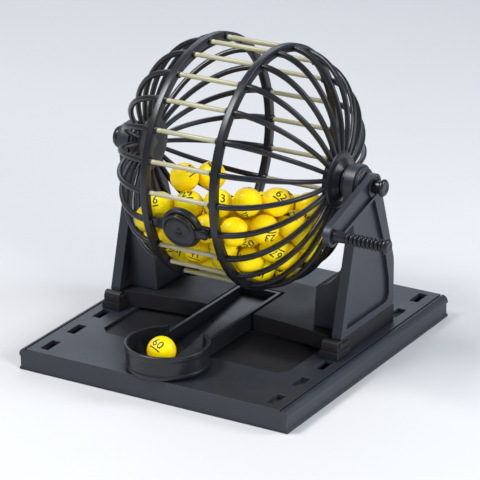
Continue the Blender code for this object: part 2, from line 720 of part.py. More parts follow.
def ball_heap(heap):
    """The balls lying in the lower half of the cage, as one solid with seats for the loose ones."""
    inside = turned("heap_inside", heap_profile(), 32)
    above = box("heap_above", (-0.1, -0.1, 0.0), (0.1, 0.1, 0.1))
    above.transform(Matrix.Translation((0, 0, heap_level(0.0))) @ Matrix.Rotation(-HEAP_LEAN, 4, "Y"))
    steps = [("DIFFERENCE", above)]
    for place in top_ball_places():
        seat = ball_mesh("heap_seat", BALL_R + 0.0006)
        seat.transform(Matrix.Translation(place))
        steps.append(("DIFFERENCE", seat))
    return piece("ball_heap", combined("heap", inside, steps), YELLOW, heap)


def loose_balls(heap):
    for number, place in enumerate(top_ball_places(), start=1):
        made = piece(f"loose_ball_{number:02d}", ball_mesh("loose_ball", BALL_R), YELLOW, heap)
        made.location = place


def drawn_ball():
    """The ball that has rolled down the chute into the cup."""
    made = piece("drawn_ball", ball_mesh("drawn_ball", BALL_R), YELLOW)
    made.location = (CHUTE_X - 0.001, CUP_Y - 0.004, CUP_FLOOR + BALL_R + GAP)
    return made


def empty(name, place, parent=None):
    made = bpy.data.objects.new(name, None)
    PARTS.objects.link(made)
    made.parent = parent
    made.location = place
    return made


def build():
    base_tray()
    stand_deck()
    ball_chute()
    supports()
    cage = empty("cage_axis", CAGE_CENTRE)
    domes(cage)
    rods(cage)
    exit_port(cage)
    shutter_axis = empty("shutter_axis", (0, 0, 0), cage)
    shutter_axis.rotation_euler.x = place_angle(EXIT_PLACE)
    shutter_pivot = empty("shutter_pivot", (SHUTTER_PIVOT_X, 0, 0), shutter_axis)
    port_shutter(shutter_pivot)
    shutter_rivet(shutter_pivot)
    axles(cage)
    crank_arm(cage)
    crank_cap(cage)
    grip_pin(cage)
    grip = empty("grip_axis", (0, ARM_REACH_Y, ARM_REACH_Z), cage)
    crank_grip(grip)
    heap = empty("heap_axis", CAGE_CENTRE)
    heap.rotation_euler.x = HEAP_TILT
    ball_heap(heap)
    loose_balls(heap)
    drawn_ball()


for leftover in list(bpy.data.objects):
    bpy.data.objects.remove(leftover)

PARTS = collection("bingo_cage")
CUTTERS = collection("cutters")

CHARCOAL = material("charcoal_plastic", (0.055, 0.058, 0.066), 0.42)
BLACK = material("black_plastic", (0.018, 0.018, 0.021), 0.36)
CREAM = material("cream_rod_plastic", (0.72, 0.68, 0.42), 0.40)
YELLOW = material("yellow_ball_plastic", (0.95, 0.70, 0.02), 0.38)

build()
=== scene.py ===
import json
import math

import bmesh
import bpy
import numpy as np
from mathutils import Euler, Matrix, Vector


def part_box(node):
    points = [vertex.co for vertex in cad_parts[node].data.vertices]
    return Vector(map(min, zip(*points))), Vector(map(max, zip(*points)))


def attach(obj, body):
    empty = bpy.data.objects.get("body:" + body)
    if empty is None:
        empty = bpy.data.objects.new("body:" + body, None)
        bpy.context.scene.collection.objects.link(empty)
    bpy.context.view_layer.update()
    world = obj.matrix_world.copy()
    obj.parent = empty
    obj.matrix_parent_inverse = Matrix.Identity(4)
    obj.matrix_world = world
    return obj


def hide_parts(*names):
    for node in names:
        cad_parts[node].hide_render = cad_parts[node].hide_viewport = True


# Looks of the tabletop bingo cage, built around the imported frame. Units are metres in the frame's axes:
# +X runs along the cage axis towards the crank, +Y to the back and +Z up.

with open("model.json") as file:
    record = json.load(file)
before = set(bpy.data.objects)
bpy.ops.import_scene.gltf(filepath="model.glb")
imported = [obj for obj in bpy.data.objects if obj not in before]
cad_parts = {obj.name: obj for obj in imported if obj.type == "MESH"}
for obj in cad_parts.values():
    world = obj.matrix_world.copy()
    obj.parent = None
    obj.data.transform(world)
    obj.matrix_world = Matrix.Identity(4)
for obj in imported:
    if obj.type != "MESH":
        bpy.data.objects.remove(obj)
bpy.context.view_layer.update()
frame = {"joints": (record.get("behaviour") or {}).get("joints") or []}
JOINTS = {joint["name"]: joint for joint in frame["joints"]}

GAP = 0.0003
TRAY_LOW, TRAY_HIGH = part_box("base_tray")
HALF_W, HALF_D, TRAY_TOP = TRAY_HIGH.x, TRAY_HIGH.y, TRAY_HIGH.z
TRAY_WALL = 0.002
PLATE_T = 0.002
RAIL_X = 0.0765
RAIL_R = 0.0035
RAIL_STEP = 0.0008
GROOVE_W = 0.001
SLOT_X = 0.0675
SLOT_PITCH = 0.0244
SLOT_INSET = 0.0105
SLOT_SIZE = (0.005, 0.012)
RECESS_X = 0.056
RECESS_Y = (-0.048, 0.060)
RECESS_CHAMFER = 0.005
RECESS_DEPTH = 0.004
FOOT = 0.014

DECK_X = 0.070
DECK_Y = (-0.014, 0.0430)
DECK_TOP = 0.0208
DECK_BOW = 0.0085
LUG_X = (0.0610, 0.0715)
LUG_REACH = 0.0068
LUG_H = 0.0070
LUG_ROLL = 0.0025

CHUTE_LOW, CHUTE_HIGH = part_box("ball_chute")
CUP_R = (CHUTE_HIGH.x - CHUTE_LOW.x) / 2
CUP = Vector(((CHUTE_LOW.x + CHUTE_HIGH.x) / 2, CHUTE_LOW.y + CUP_R, 0.0138))
CHUTE_HALF = 0.0125
CHUTE_WALL = 0.0018
CHUTE_TOP = 0.0212
CHUTE_RISE = 0.0035

AXIS = Vector(JOINTS["cage_spin"]["pos_m"])
PLACES = 24
FIRST_ANGLE = math.radians(-14.0)
EXIT_PLACE = 8
ROD_CIRCLE = 0.062
ROD_R = 0.00125
ROD_HALF = 0.0204
RING_IN, RING_OUT = 0.0600, 0.0645
RING_X = (0.0182, 0.0221)
SOCKET_X = 0.0207
STUB_R = 0.0021
STUB_X = 0.0172
RIB_R = 0.0015
HUB_X = (0.0545, 0.0615)
HUB_R = 0.0152
DOME_POWER = 1.05

PORT_R = 0.0112
PORT_HOLE = 0.0085
PORT_Z = (0.0602, 0.0640)
SHUTTER_X = 0.0142
SHUTTER_R = 0.0094
SHUTTER_T = 0.0012

SUPPORT_X = (0.0645, 0.0700)
INNER_BOSS = (0.0620, 0.0090)
PANEL_Y = (-0.0145, 0.0425)
PANEL_BEND_Z = 0.0440
PANEL_SHOULDER = (0.0292, 0.0860)
PANEL_WAIST = (-0.0010, 0.0700)
PANEL_HEAD_R = 0.0100
FIELD = ((-0.0085, 0.0250), (0.0335, 0.0250), (0.0362, 0.0262), (0.0375, 0.0290), (0.0370, 0.0380),
         (0.0310, 0.0610), (0.0205, 0.0870), (0.0165, 0.0860), (0.0025, 0.0780), (0.0025, 0.0630))
FIELD_DEPTH = 0.0018
INNER_FIELD_DEPTH = 0.0008
GUSSET_Y = (-0.0035, 0.0325)
GUSSET_FOOT_X = 0.0478
GUSSET_CENTRE = (0.0452, 0.0620)
GUSSET_CURVE_R = 0.0195
BEARING_R = 0.0049
SLEEVE_R = 0.0084
SLEEVE_X = 0.0730
SHAFT_R = 0.0046
SPIGOT_R = 0.0030
ARM_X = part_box("crank_arm")[0].x
ARM_T = 0.0036
ARM_EYES = (0.0066, 0.0058)
ARM_RIM = 0.0015
GRIP_AXIS = Vector(JOINTS["grip_spin"]["pos_m"])
GRIP_X = (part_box("crank_grip")[0].x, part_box("crank_grip")[1].x)
GRIP_RIBBED = 0.0850
GRIP_R = 0.0033
GRIP_RIBS = 9
RIB_SHAPE = ((0.06, 0.0010), (0.16, 0.0003), (0.38, 0.0), (0.62, 0.0), (0.84, 0.0003), (0.94, 0.0010))
PIN_R = 0.0016

BALL_R = 0.0075
HEAP_BALLS = 70
DRAWN_NUMBER = 60
HEAP_TILT = math.radians(-20)
HEAP_LEAN = math.radians(12.5)
HEAP_DEPTH = 0.0250
HEAP_PROUD = 0.0010
PACK_STEPS = 1300

CAGE = Matrix.Translation(AXIS)
ALONG_X = Matrix(((0, 0, 1, 0), (1, 0, 0, 0), (0, 1, 0, 0), (0, 0, 0, 1)))
FACING_BACK = Matrix(((1, 0, 0, 0), (0, 0, 1, 0), (0, 1, 0, 0), (0, 0, 0, 1)))


# ---------------------------------------------------------------- mesh tools

def mesh_from(name, bm):
    bmesh.ops.remove_doubles(bm, verts=bm.verts, dist=0.000001)
    bmesh.ops.recalc_face_normals(bm, faces=bm.faces)
    mesh = bpy.data.meshes.new(name)
    bm.to_mesh(mesh)
    bm.free()
    return mesh


def helper(data):
    made = bpy.data.objects.new("helper", data)
    bpy.context.scene.collection.objects.link(made)
    return made


def evaluated(worker):
    """The final mesh of a helper object, which is then removed."""
    graph = bpy.context.evaluated_depsgraph_get()
    mesh = bpy.data.meshes.new_from_object(worker.evaluated_get(graph))
    bpy.data.objects.remove(worker)
    return mesh


def prism(outline, low, high, axes=Matrix.Identity(4)):
    """A solid from a 2D outline, between two heights of its frame."""
    bm = bmesh.new()
    base = bm.faces.new([bm.verts.new((x, y, low)) for x, y in outline])
    top = bmesh.ops.extrude_face_region(bm, geom=[base])
    lifted = [v for v in top["geom"] if isinstance(v, bmesh.types.BMVert)]
    bmesh.ops.translate(bm, vec=(0, 0, high - low), verts=lifted)
    bmesh.ops.transform(bm, matrix=axes, verts=bm.verts)
    return mesh_from("prism", bm)


def block(low, high):
    outline = [(low[0], low[1]), (high[0], low[1]), (high[0], high[1]), (low[0], high[1])]
    return prism(outline, low[2], high[2])


def disc(radius, low, high, centre=(0.0, 0.0), sides=64, axes=Matrix.Identity(4)):
    return prism(arc(centre, radius, 0, 360 - 360 / sides, sides - 1), low, high, axes)


def arc(centre, radius, start, end, steps):
    """Points on an arc, with angles in degrees."""
    turns = [math.radians(start + (end - start) * i / steps) for i in range(steps + 1)]
    return [(centre[0] + radius * math.cos(t), centre[1] + radius * math.sin(t)) for t in turns]


def lathe(profile, sides, ring=False):
    """A solid of revolution about X from (x, radius) points; a ring's profile closes on itself."""
    bm = bmesh.new()
    rows = []
    for x, radius in profile:
        if radius < 1e-7:
            rows.append([bm.verts.new((x, 0.0, 0.0))] * sides)
            continue
        turns = [2 * math.pi * i / sides for i in range(sides)]
        rows.append([bm.verts.new((x, radius * math.sin(t), radius * math.cos(t))) for t in turns])
    pairs = list(zip(rows, rows[1:] + rows[:1])) if ring else list(zip(rows, rows[1:]))
    for first, second in pairs:
        for i in range(sides):
            j = (i + 1) % sides
            corners = list(dict.fromkeys((first[i], first[j], second[j], second[i])))
            if len(corners) > 2:
                bm.faces.new(corners)
    return mesh_from("lathe", bm)


def rounded(points, radius, steps=3, closed=False):
    """The same (x, radius) profile with its corners rounded, keeping its ends unless it is closed."""
    out = []
    count = len(points)
    for i, point in enumerate(points):
        if not closed and i in (0, count - 1):
            out.append(point)
            continue
        here = Vector(point)
        before = Vector(points[i - 1]) - here
        after = Vector(points[(i + 1) % count]) - here
        cut = min(radius, before.length * 0.45, after.length * 0.45)
        start, end = here + before.normalized() * cut, here + after.normalized() * cut
        for step in range(steps + 1):
            t = step / steps
            out.append(tuple(start * (1 - t) ** 2 + here * 2 * t * (1 - t) + end * t ** 2))
    return out


def carved(first, steps):
    """Run exact Booleans on a mesh; each step is an operation and the mesh it works with."""
    worker = helper(first)
    tools = []
    for operation, mesh in steps:
        tools.append(helper(mesh))
        modifier = worker.modifiers.new(operation, "BOOLEAN")
        modifier.operation = operation
        modifier.solver = "EXACT"
        modifier.object = tools[-1]
    made = evaluated(worker)
    for tool in tools:
        bpy.data.objects.remove(tool)
    return made


def joined(*meshes):
    bm = bmesh.new()
    for mesh in meshes:
        bm.from_mesh(mesh)
    return mesh_from("joined", bm)


def weighted(worker):
    """Normals that follow a helper's large flat faces, on its final mesh."""
    normals = worker.modifiers.new("normals", "WEIGHTED_NORMAL")
    normals.weight = 80
    normals.keep_sharp = True
    return evaluated(worker)


def softened(mesh, width, segments=2, limit=28):
    """Round a mesh's hard edges, with normals weighted to its flat faces."""
    mesh.shade_smooth()
    worker = helper(mesh)
    bevel = worker.modifiers.new("edges", "BEVEL")
    bevel.width = width
    bevel.segments = segments
    bevel.limit_method = "ANGLE"
    bevel.angle_limit = math.radians(limit)
    bevel.use_clamp_overlap = True
    return weighted(worker)


def smooth(mesh, limit=40):
    mesh.shade_smooth()
    mesh.set_sharp_from_angle(angle=math.radians(limit))
    return mesh


def mirrored(mesh):
    bm = bmesh.new()
    bm.from_mesh(mesh)
    bmesh.ops.transform(bm, matrix=Matrix.Diagonal((-1.0, 1.0, 1.0, 1.0)), verts=bm.verts)
    return mesh_from("mirrored", bm)


def place(name, mesh, looks, body, nodes, where=Matrix.Identity(4)):
    """Show one finished piece: its materials, the body it rides on and the nodes it stands for."""
    made = bpy.data.objects.new(name, mesh)
    mesh.name = name
    bpy.context.scene.collection.objects.link(made)
    made.matrix_world = where
    mesh.materials.clear()
    for look in looks:
        mesh.materials.append(look)
    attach(made, body)
    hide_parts(*nodes)
    return made


# ---------------------------------------------------------------- materials

def add_node(tree, kind, inputs=None, **settings):
    made = tree.nodes.new("ShaderNode" + kind)
    for name, value in settings.items():
        setattr(made, name, value)
    for name, value in (inputs or {}).items():
        if isinstance(value, bpy.types.NodeSocket):
            tree.links.new(value, made.inputs[name])
        else:
            made.inputs[name].default_value = value
    return made


def noise(tree, where, scale, detail=3.0, roughness=0.55):
    inputs = {"Vector": where, "Scale": scale, "Detail": detail, "Roughness": roughness}
    return add_node(tree, "TexNoise", inputs).outputs["Fac"]


def remap(tree, value, from_low, from_high, to_low, to_high):
    inputs = {"Value": value, "From Min": from_low, "From Max": from_high,
              "To Min": to_low, "To Max": to_high}
    return add_node(tree, "MapRange", inputs).outputs["Result"]


def maths(tree, operation, first, second):
    made = add_node(tree, "Math", operation=operation)
    for socket, value in zip(made.inputs, (first, second)):
        if isinstance(value, bpy.types.NodeSocket):
            tree.links.new(value, socket)
        else:
            socket.default_value = value
    return made.outputs[0]


def mix_colour(tree, factor, first, second):
    made = add_node(tree, "Mix", data_type="RGBA")
    for index, value in ((0, factor), (6, first), (7, second)):
        if isinstance(value, bpy.types.NodeSocket):
            tree.links.new(value, made.inputs[index])
        else:
            made.inputs[index].default_value = value
    return made.outputs[2]


def edge_mask(tree, radius):
    """White along edges tighter than the radius, black on flat faces."""
    bevel = add_node(tree, "Bevel", {"Radius": radius}, samples=4)
    geometry = add_node(tree, "NewGeometry")
    dot = add_node(tree, "VectorMath", operation="DOT_PRODUCT")
    tree.links.new(bevel.outputs["Normal"], dot.inputs[0])
    tree.links.new(geometry.outputs["Normal"], dot.inputs[1])
    return remap(tree, dot.outputs["Value"], 1.0, 0.86, 0.0, 1.0)


def rgba(colour, factor=1.0):
    return (*[channel * factor for channel in colour], 1.0)


def plastic(name, colour, roughness, grain, bump, edge_lightening=0.55, varied=0.16, shine=0.5, painted_crease_shade=0.6):
    """Moulded plastic with texture grain, cloudy colour and gloss, scuffs, painted shade in creases and
    corners, and edges lightened partly as wear and partly as a painted highlight.
    """
    made = bpy.data.materials.new(name)
    made.use_nodes = True
    tree = made.node_tree
    shader = tree.nodes["Principled BSDF"]
    where = add_node(tree, "TexCoord").outputs["Object"]
    cloud = noise(tree, where, 45.0, 4.0, 0.6)
    fine = noise(tree, where, grain, 2.0, 0.5)
    stretched = add_node(tree, "Mapping", {"Vector": where, "Scale": (60.0, 900.0, 420.0),
                                           "Rotation": (0.3, 0.5, 0.8)}).outputs["Vector"]
    scuffs = remap(tree, noise(tree, stretched, 1.0, 3.0, 0.6), 0.66, 0.74, 0.0, 1.0)
    # Edges are lightened partly as wear and partly as a painted highlight along the fillets; the same edge
    # mask also roughens them as wear.
    wear_and_edge_highlight = maths(tree, "MULTIPLY", edge_mask(tree, 0.0004), remap(tree, cloud, 0.35, 0.62, 0.3, 1.0))
    cloudy = remap(tree, cloud, 0.3, 0.7, 0.0, 1.0)
    base = mix_colour(tree, cloudy, rgba(colour, 1 - varied), rgba(colour, 1 + varied))
    pale = rgba([min(1.0, channel * 1.8 + 0.06) for channel in colour])
    edged = mix_colour(tree, maths(tree, "MULTIPLY", wear_and_edge_highlight, edge_lightening), base, pale)
    # Painted shade: base colour and specular level are darkened where ambient occlusion finds creases,
    # recesses and corners, standing in for the shade that falls there.
    cavity = add_node(tree, "AmbientOcclusion", {"Distance": 0.003}, samples=4).outputs["AO"]
    painted_crease_light = remap(tree, cavity, 0.45, 0.95, 1 - painted_crease_shade, 1.0)
    tree.links.new(mix_colour(tree, painted_crease_light, rgba(colour, 1 - painted_crease_shade), edged), shader.inputs["Base Color"])
    tree.links.new(maths(tree, "MULTIPLY", painted_crease_light, shine), shader.inputs["Specular IOR Level"])
    gloss = remap(tree, cloud, 0.3, 0.7, roughness - 0.05, roughness + 0.06)
    gloss = maths(tree, "ADD", gloss, maths(tree, "MULTIPLY", scuffs, 0.12))
    tree.links.new(maths(tree, "ADD", gloss, maths(tree, "MULTIPLY", wear_and_edge_highlight, 0.1)), shader.inputs["Roughness"])
    relief = add_node(tree, "Bump", {"Height": fine, "Strength": bump, "Distance": 0.0001})
    tree.links.new(relief.outputs["Normal"], shader.inputs["Normal"])
    made.diffuse_color = rgba(colour)
    return made


def ball_plastic():
    """Bright yellow ball plastic, a little different from ball to ball, with painted orange shade towards its
    outline as the camera sees it.
    """
    made = plastic("yellow_ball_plastic", (0.92, 0.76, 0.003), 0.36, 2600.0, 0.10, edge_lightening=0.0, varied=0.04,
                   shine=0.3, painted_crease_shade=0.12)
    tree = made.node_tree
    shader = tree.nodes["Principled BSDF"]
    source = shader.inputs["Base Color"].links[0].from_socket
    each = add_node(tree, "ObjectInfo").outputs["Random"]
    # Painted shade: the colour turns orange towards grazing view angles, standing in for the warm shade round
    # each ball's edge; the per-ball random share is real tone.
    facing = add_node(tree, "LayerWeight", {"Blend": 0.35}).outputs["Facing"]
    share = maths(tree, "ADD", maths(tree, "MULTIPLY", each, 0.25), maths(tree, "MULTIPLY", facing, 0.45))
    tone_and_painted_rim_shade = mix_colour(tree, share, source, rgba((1.0, 0.52, 0.003)))
    tree.links.new(tone_and_painted_rim_shade, shader.inputs["Base Color"])
    shader.inputs["Subsurface Weight"].default_value = 0.3
    shader.inputs["Subsurface Radius"].default_value = (1.0, 0.6, 0.1)
    shader.inputs["Subsurface Scale"].default_value = 0.004
    return made


CHARCOAL = plastic("charcoal_plastic", (0.018, 0.021, 0.030), 0.42, 2400.0, 0.30)
BLACK = plastic("black_plastic", (0.009, 0.010, 0.0135), 0.30, 2800.0, 0.14, shine=0.42)
DARK = plastic("dark_textured_plastic", (0.013, 0.013, 0.0155), 0.48, 1700.0, 0.45, shine=0.28)
CREAM = plastic("cream_rod_plastic", (0.35, 0.335, 0.215), 0.34, 2600.0, 0.12, edge_lightening=0.2, varied=0.10,
                painted_crease_shade=0.4)
YELLOW = ball_plastic()
INK = plastic("black_print", (0.012, 0.012, 0.012), 0.5, 3000.0, 0.10, edge_lightening=0.0)


# ---------------------------------------------------------------- base

def tray_section():
    """Outline across the tray: flat plate, groove, rounded rail, set-back wall and foot lip."""
    wall = HALF_W - RAIL_STEP
    groove = RAIL_X - GROOVE_W
    right = [(HALF_W, 0.0), (HALF_W, 0.0012), (wall, 0.0018), (wall, 0.0074)]
    right += arc((HALF_W - RAIL_R, TRAY_TOP - RAIL_R), RAIL_R, -10, 90, 12)
    right += [(RAIL_X, TRAY_TOP), (RAIL_X - 0.0001, TRAY_TOP - GROOVE_W), (groove, TRAY_TOP - GROOVE_W),
              (groove, TRAY_TOP)]
    return right + [(-x, z) for x, z in reversed(right)]


def slot_places():
    end = HALF_D - SLOT_INSET
    places = []
    for side in (-1, 1):
        places += [(side * SLOT_X, -end + i * SLOT_PITCH) for i in range(3)]
        places += [(side * SLOT_X, end - i * SLOT_PITCH) for i in range(2)]
    return places


def recess_outline(grow=0.0):
    x = RECESS_X + grow
    front, back = RECESS_Y[0] - grow, RECESS_Y[1] + grow
    cut = RECESS_CHAMFER
    return [(-x, back), (-x, front + cut), (-x + cut, front), (x - cut, front), (x, front + cut), (x, back)]


def tray():
    """The hollow base tray with its recess, its slots, corner feet and stiffening ribs underneath."""
    floor = TRAY_TOP - RECESS_DEPTH
    low, high = floor - PLATE_T, TRAY_TOP - PLATE_T
    half_x, half_y = HALF_W - TRAY_WALL - RAIL_STEP, HALF_D - TRAY_WALL
    body = prism(tray_section(), -HALF_D, HALF_D, FACING_BACK)
    ring = carved(block((-half_x, -half_y, -0.001), (half_x, half_y, high)),
                  [("DIFFERENCE", prism(recess_outline(TRAY_WALL), -0.01, 0.03))])
    steps = [("DIFFERENCE", block((-half_x, -half_y, -0.002), (half_x, half_y, low))), ("DIFFERENCE", ring),
             ("DIFFERENCE", prism(recess_outline(), floor, 0.03))]
    sx, sy = SLOT_SIZE[0] / 2, SLOT_SIZE[1] / 2
    slots = joined(*[block((x - sx, y - sy, 0.001), (x + sx, y + sy, 0.02)) for x, y in slot_places()])
    for side in (-1, 1):
        for end in (-1, 1):
            xs = sorted((side * (HALF_W - 0.0015), side * (HALF_W - FOOT)))
            ys = sorted((end * (HALF_D - 0.001), end * (HALF_D - FOOT)))
            steps.append(("UNION", block((xs[0], ys[0], 0.0), (xs[1], ys[1], high + 0.001))))
    for turn in (0.0, math.pi / 2):
        rib = block((-half_x - 0.001, -0.0008, 0.002), (half_x + 0.001, 0.0008, low + 0.001))
        rib.transform(Matrix.Rotation(turn, 4, "Z"))
        steps.append(("UNION", rib))
    steps += [("UNION", disc(0.006, 0.0, low + 0.001, sides=40)), ("DIFFERENCE", slots)]
    mesh = softened(carved(body, steps), 0.00032)
    place("base_tray_finished", mesh, [CHARCOAL], "base", ["base_tray"])


def lug(side):
    """A locating clip at a deck corner: a stepped block with a rolled hook on top."""
    low = TRAY_TOP + GAP
    inner, outer = sorted((side * LUG_X[0], side * LUG_X[1]))
    front, back = DECK_Y[0] - LUG_REACH, DECK_Y[0] + LUG_REACH
    step = 0.0006
    steps = [block((inner, front, low), (outer, back, low + LUG_H * 0.55)),
             block((inner + step, front + 0.0010, low + LUG_H * 0.5), (outer - step, back, low + LUG_H))]
    roll_at = (front + LUG_ROLL * 1.5, low + LUG_H)
    steps.append(disc(LUG_ROLL, inner + step, outer - step, roll_at, 28, ALONG_X))
    return steps + [disc(LUG_ROLL * 0.4, inner - 0.0002, outer + 0.0002, roll_at, 16, ALONG_X)]


def deck():
    """The raised deck: a bowed front, a skirt down into the recess, a slot for the chute and two clips."""
    bottom = TRAY_TOP + GAP
    floor = TRAY_TOP - RECESS_DEPTH + GAP
    middle = DECK_Y[0] + DECK_BOW
    wall = TRAY_WALL
    bow = [(DECK_X * (i / 8 - 1), middle - DECK_BOW * (i / 8 - 1) ** 2) for i in range(17)]
    body = prism(bow + [(DECK_X, DECK_Y[1]), (-DECK_X, DECK_Y[1])], bottom, DECK_TOP)
    skirt = block((-RECESS_X + GAP, middle, floor), (RECESS_X - GAP, DECK_Y[1], bottom + 0.001))
    hollow = block((-RECESS_X + wall, middle + wall, 0.0),
                   (RECESS_X - wall, DECK_Y[1] - wall, DECK_TOP - wall))
    flange = prism(recess_outline(-GAP), floor, floor + 0.002)
    half = CHUTE_HALF + 0.0015
    slot = block((CUP.x - half, DECK_Y[0] - 0.01, floor + 0.0025),
                 (CUP.x + half, CHUTE_HIGH.y + 0.002, DECK_TOP + 0.01))
    steps = [("UNION", skirt), ("DIFFERENCE", hollow), ("UNION", flange), ("DIFFERENCE", slot)]
    for side in (-1, 1):
        steps += [("UNION", part) for part in lug(side)]
        xs = sorted((side * (DECK_X - 0.0035), side * SUPPORT_X[0]))
        notch = block((xs[0], DECK_Y[1] - 0.0012, DECK_TOP - 0.0008),
                      (xs[1], DECK_Y[1] + 0.001, DECK_TOP + 0.001))
        steps.append(("DIFFERENCE", notch))
    mesh = softened(carved(body, steps), 0.0003)
    place("stand_deck_finished", mesh, [DARK], "base", ["stand_deck"])


def chute():
    """The trough and cup, with a rolled rim round the cup and rounded trough walls."""
    bottom = TRAY_TOP + GAP
    rim = CHUTE_HIGH.z
    spin = Matrix.Translation((CUP.x, CUP.y, 0)) @ Matrix.Rotation(-math.pi / 2, 4, "Y")
    inner = CUP_R - CHUTE_WALL
    wall = [(bottom, 0.0), (bottom, CUP_R - 0.0012), (bottom + 0.0012, CUP_R - 0.0003),
            (bottom + 0.0024, CUP_R - 0.0003), (bottom + 0.0030, CUP_R - 0.0007),
            (rim - 0.0030, CUP_R - 0.0004), (rim - 0.0024, CUP_R), (rim, CUP_R), (rim, inner - 0.0002),
            (rim - 0.0024, inner), (CUP.z, inner - 0.0006), (CUP.z, 0.0)]
    cup = lathe(rounded(wall, 0.0007, 3), 96)
    cup.transform(spin)
    trough = block((CUP.x - CHUTE_HALF, CUP.y + 0.010, bottom), (CUP.x + CHUTE_HALF, CHUTE_HIGH.y, CHUTE_TOP))
    bowl = disc(inner - 0.0004, CUP.z, 0.05, (CUP.x, CUP.y), 96)
    trough = carved(trough, [("DIFFERENCE", bowl)])
    start = CUP.y + CUP_R - 0.002
    end = CHUTE_HIGH.y - CHUTE_WALL
    side_view = [(CUP.y, CUP.z), (start, CUP.z), (end, CUP.z + CHUTE_RISE), (end, 0.05), (CUP.y, 0.05)]
    inside = CHUTE_HALF - CHUTE_WALL
    channel = prism(side_view, CUP.x - inside, CUP.x + inside, ALONG_X)
    mesh = carved(cup, [("UNION", trough), ("DIFFERENCE", channel)])
    place("ball_chute_finished", softened(mesh, 0.00028), [BLACK], "base", ["ball_chute"])


# ---------------------------------------------------------------- supports

def panel_outline():
    """Side outline of a support in world Y and Z, from the front foot round over the bearing."""
    foot = DECK_TOP + GAP
    front, back = PANEL_Y
    points = [(front, foot), (back - 0.003, foot), (back - 0.0009, foot + 0.0009), (back, foot + 0.003),
              (back, PANEL_BEND_Z), (back - 0.0004, PANEL_BEND_Z + 0.004), PANEL_SHOULDER]
    return points + arc((AXIS.y, AXIS.z), PANEL_HEAD_R, 40, 185, 15) + [PANEL_WAIST]


def gusset_outline():
    """Front outline of the foot that widens inward below the dome, in world X and Z."""
    foot = DECK_TOP + GAP
    curve = arc(GUSSET_CENTRE, GUSSET_CURVE_R, 350, 282, 16)
    inside = SUPPORT_X[0] + 0.002
    return [(inside, foot), (inside, curve[0][1])] + curve + [(GUSSET_FOOT_X, foot)]


def support_mesh():
    """A panel recessed inside its rim on both faces, a curved gusset, and a bearing sleeve through it."""
    x0, x1 = SUPPORT_X
    panel = prism(panel_outline(), x0, x1, ALONG_X)
    outer = prism(FIELD, x1 - FIELD_DEPTH, x1 + 0.001, ALONG_X)
    inner = prism(FIELD, x0 - 0.001, x0 + INNER_FIELD_DEPTH, ALONG_X)
    gusset = prism(gusset_outline(), *GUSSET_Y, FACING_BACK)
    panel = carved(panel, [("DIFFERENCE", outer), ("DIFFERENCE", inner), ("UNION", gusset)])
    panel = softened(panel, 0.0006, 3)
    sleeve = [(x0 + 0.002, 0.0), (x0 + 0.002, SLEEVE_R), (x1 + 0.0004, SLEEVE_R + 0.0005),
              (x1 + 0.0009, SLEEVE_R + 0.0005), (x1 + 0.0012, SLEEVE_R),
              (SLEEVE_X - 0.0006, SLEEVE_R - 0.0001), (SLEEVE_X, SLEEVE_R - 0.0010), (SLEEVE_X, 0.0)]
    boss_x, boss_r = INNER_BOSS
    boss = [(boss_x, 0.0), (boss_x, boss_r - 0.0008), (boss_x + 0.0008, boss_r), (x0 + 0.001, boss_r),
            (x0 + 0.001, 0.0)]
    steps = []
    for profile in (sleeve, boss):
        barrel = lathe(rounded(profile, 0.0003, 2), 64)
        barrel.transform(CAGE)
        steps.append(("UNION", barrel))
    bore = disc(BEARING_R, 0.05, 0.08, (AXIS.y, AXIS.z), 48, ALONG_X)
    return carved(panel, steps + [("DIFFERENCE", bore)])


def supports():
    right = support_mesh()
    left = mirrored(right)
    for side, mesh in (("right", right), ("left", left)):
        mesh = weighted(helper(smooth(mesh, 50)))
        place(f"{side}_support_finished", mesh, [CHARCOAL], "base", [f"{side}_support"])


# ---------------------------------------------------------------- cage

def place_angle(index):
    return FIRST_ANGLE + 2 * math.pi * index / PLACES


def dome_point(share):
    """Centre line of a rib, from the ring (0) to the hub (1), as distance along and from the axis."""
    turn = share * math.pi / 2
    along = SOCKET_X + (HUB_X[0] + 0.002 - SOCKET_X) * math.sin(turn) ** DOME_POWER
    hub_join = HUB_R - 0.003
    return along, hub_join + (ROD_CIRCLE - hub_join) * math.cos(turn) ** DOME_POWER


def rib(angle, steps=18, corners=12):
    """One rib: a softly squared section swept along its curve, a little slimmer towards the hub."""
    bm = bmesh.new()
    turn = Matrix.Rotation(angle, 3, "X")
    rows = []
    for number in range(steps + 1):
        share = number / steps
        here = Vector(dome_point(share))
        ahead, behind = Vector(dome_point(min(share + 0.01, 1.0))), Vector(dome_point(max(share - 0.01, 0.0)))
        along = (ahead - behind).normalized()
        outward = Vector((-along.y, along.x))
        width = 0.00155 - 0.0004 * share
        depth = 0.00150 - 0.0001 * share
        row = []
        for corner in range(corners):
            around = 2 * math.pi * (corner + 0.5) / corners
            across = math.copysign(abs(math.cos(around)) ** 0.75, math.cos(around)) * width
            out = math.copysign(abs(math.sin(around)) ** 0.75, math.sin(around)) * depth
            point = here + outward * out
            row.append(bm.verts.new(turn @ Vector((point.x, across, point.y))))
        rows.append(row)
    for first, second in zip(rows, rows[1:]):
        for i in range(corners):
            j = (i + 1) % corners
            bm.faces.new((first[i], first[j], second[j], second[i]))
    bm.faces.new(rows[0])
    bm.faces.new(list(reversed(rows[-1])))
    return mesh_from("rib", bm)


